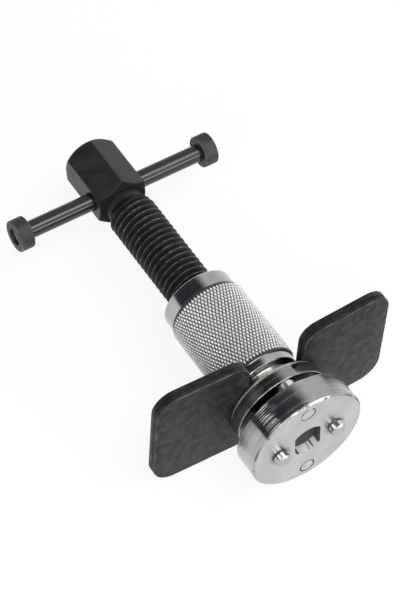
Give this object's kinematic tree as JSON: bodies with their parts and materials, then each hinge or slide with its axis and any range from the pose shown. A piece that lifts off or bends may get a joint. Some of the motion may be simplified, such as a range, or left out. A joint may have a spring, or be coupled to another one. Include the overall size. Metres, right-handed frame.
{
  "type": "brake caliper piston wind-back tool",
  "caption": "Brake piston wind-back tool: lead screw with a sliding tommy bar, knurled thrust nut, slotted reaction plate and a two-sided pinned adaptor disc.",
  "frame": {"origin": "centre of the adaptor's working face, on the screw axis, midway between the drive pins", "axes": "+Y along the screw from the working face to the hexagon head, +X along the plate's right wing, +Z out of the plate's slot"},
  "size_m": [0.0932, 0.1466, 0.0483],
  "materials": {
    "black_oxide": "black oxide on turned steel, oiled, satin",
    "cap_black": "black oxide, matt",
    "blackened_plate": "blackened stamped steel, matt",
    "bright_chrome": "bright plated, turned and knurled",
    "satin_nickel": "plated, satin face, polished rim",
    "pin_steel": "bright hardened steel",
    "elastic": "matt black rubber"
  },
  "bodies": {
    "spindle": {"spindle": "black_oxide", "nose_ring": "elastic"},
    "bar": {"tommy_bar": "black_oxide", "bar_cap_left": "cap_black", "bar_cap_right": "cap_black"},
    "washer": {"thrust_washer": "bright_chrome"},
    "nut": {"thrust_nut": "bright_chrome", "collar": "bright_chrome"},
    "plate": {"reaction_plate": "blackened_plate"},
    "adaptor": {"adaptor_disc": "satin_nickel", "drive_pin_left": "pin_steel", "drive_pin_right": "pin_steel", "rear_pin_upper": "pin_steel", "rear_pin_lower": "pin_steel"}
  },
  "joints": [
    {"name": "bar_slide", "type": "slide", "parent": "spindle", "child": "bar", "axis": [1, 0, 0], "range_m": [-0.0263, 0.0263]},
    {"name": "nut_travel", "type": "slide", "parent": "spindle", "child": "washer", "axis": [0, 1, 0], "range_m": [-0.0006, 0.0441]},
    {"name": "nut_turn", "type": "hinge", "parent": "washer", "child": "nut", "pos_m": [0, 0, 0], "axis": [0, 1, 0], "range_deg": [-72, 6336]},
    {"name": "plate_swivel", "type": "hinge", "parent": "washer", "child": "plate", "pos_m": [0, 0, 0], "axis": [0, 1, 0], "continuous": true},
    {"name": "adaptor_pull", "type": "slide", "parent": "spindle", "child": "adaptor", "axis": [0, -1, 0], "range_m": [0, 0.012]}
  ],
  "couplings": [
    {"joint": "nut_travel", "follows": "nut_turn", "m_per_rad": 0.00039789}
  ]
}
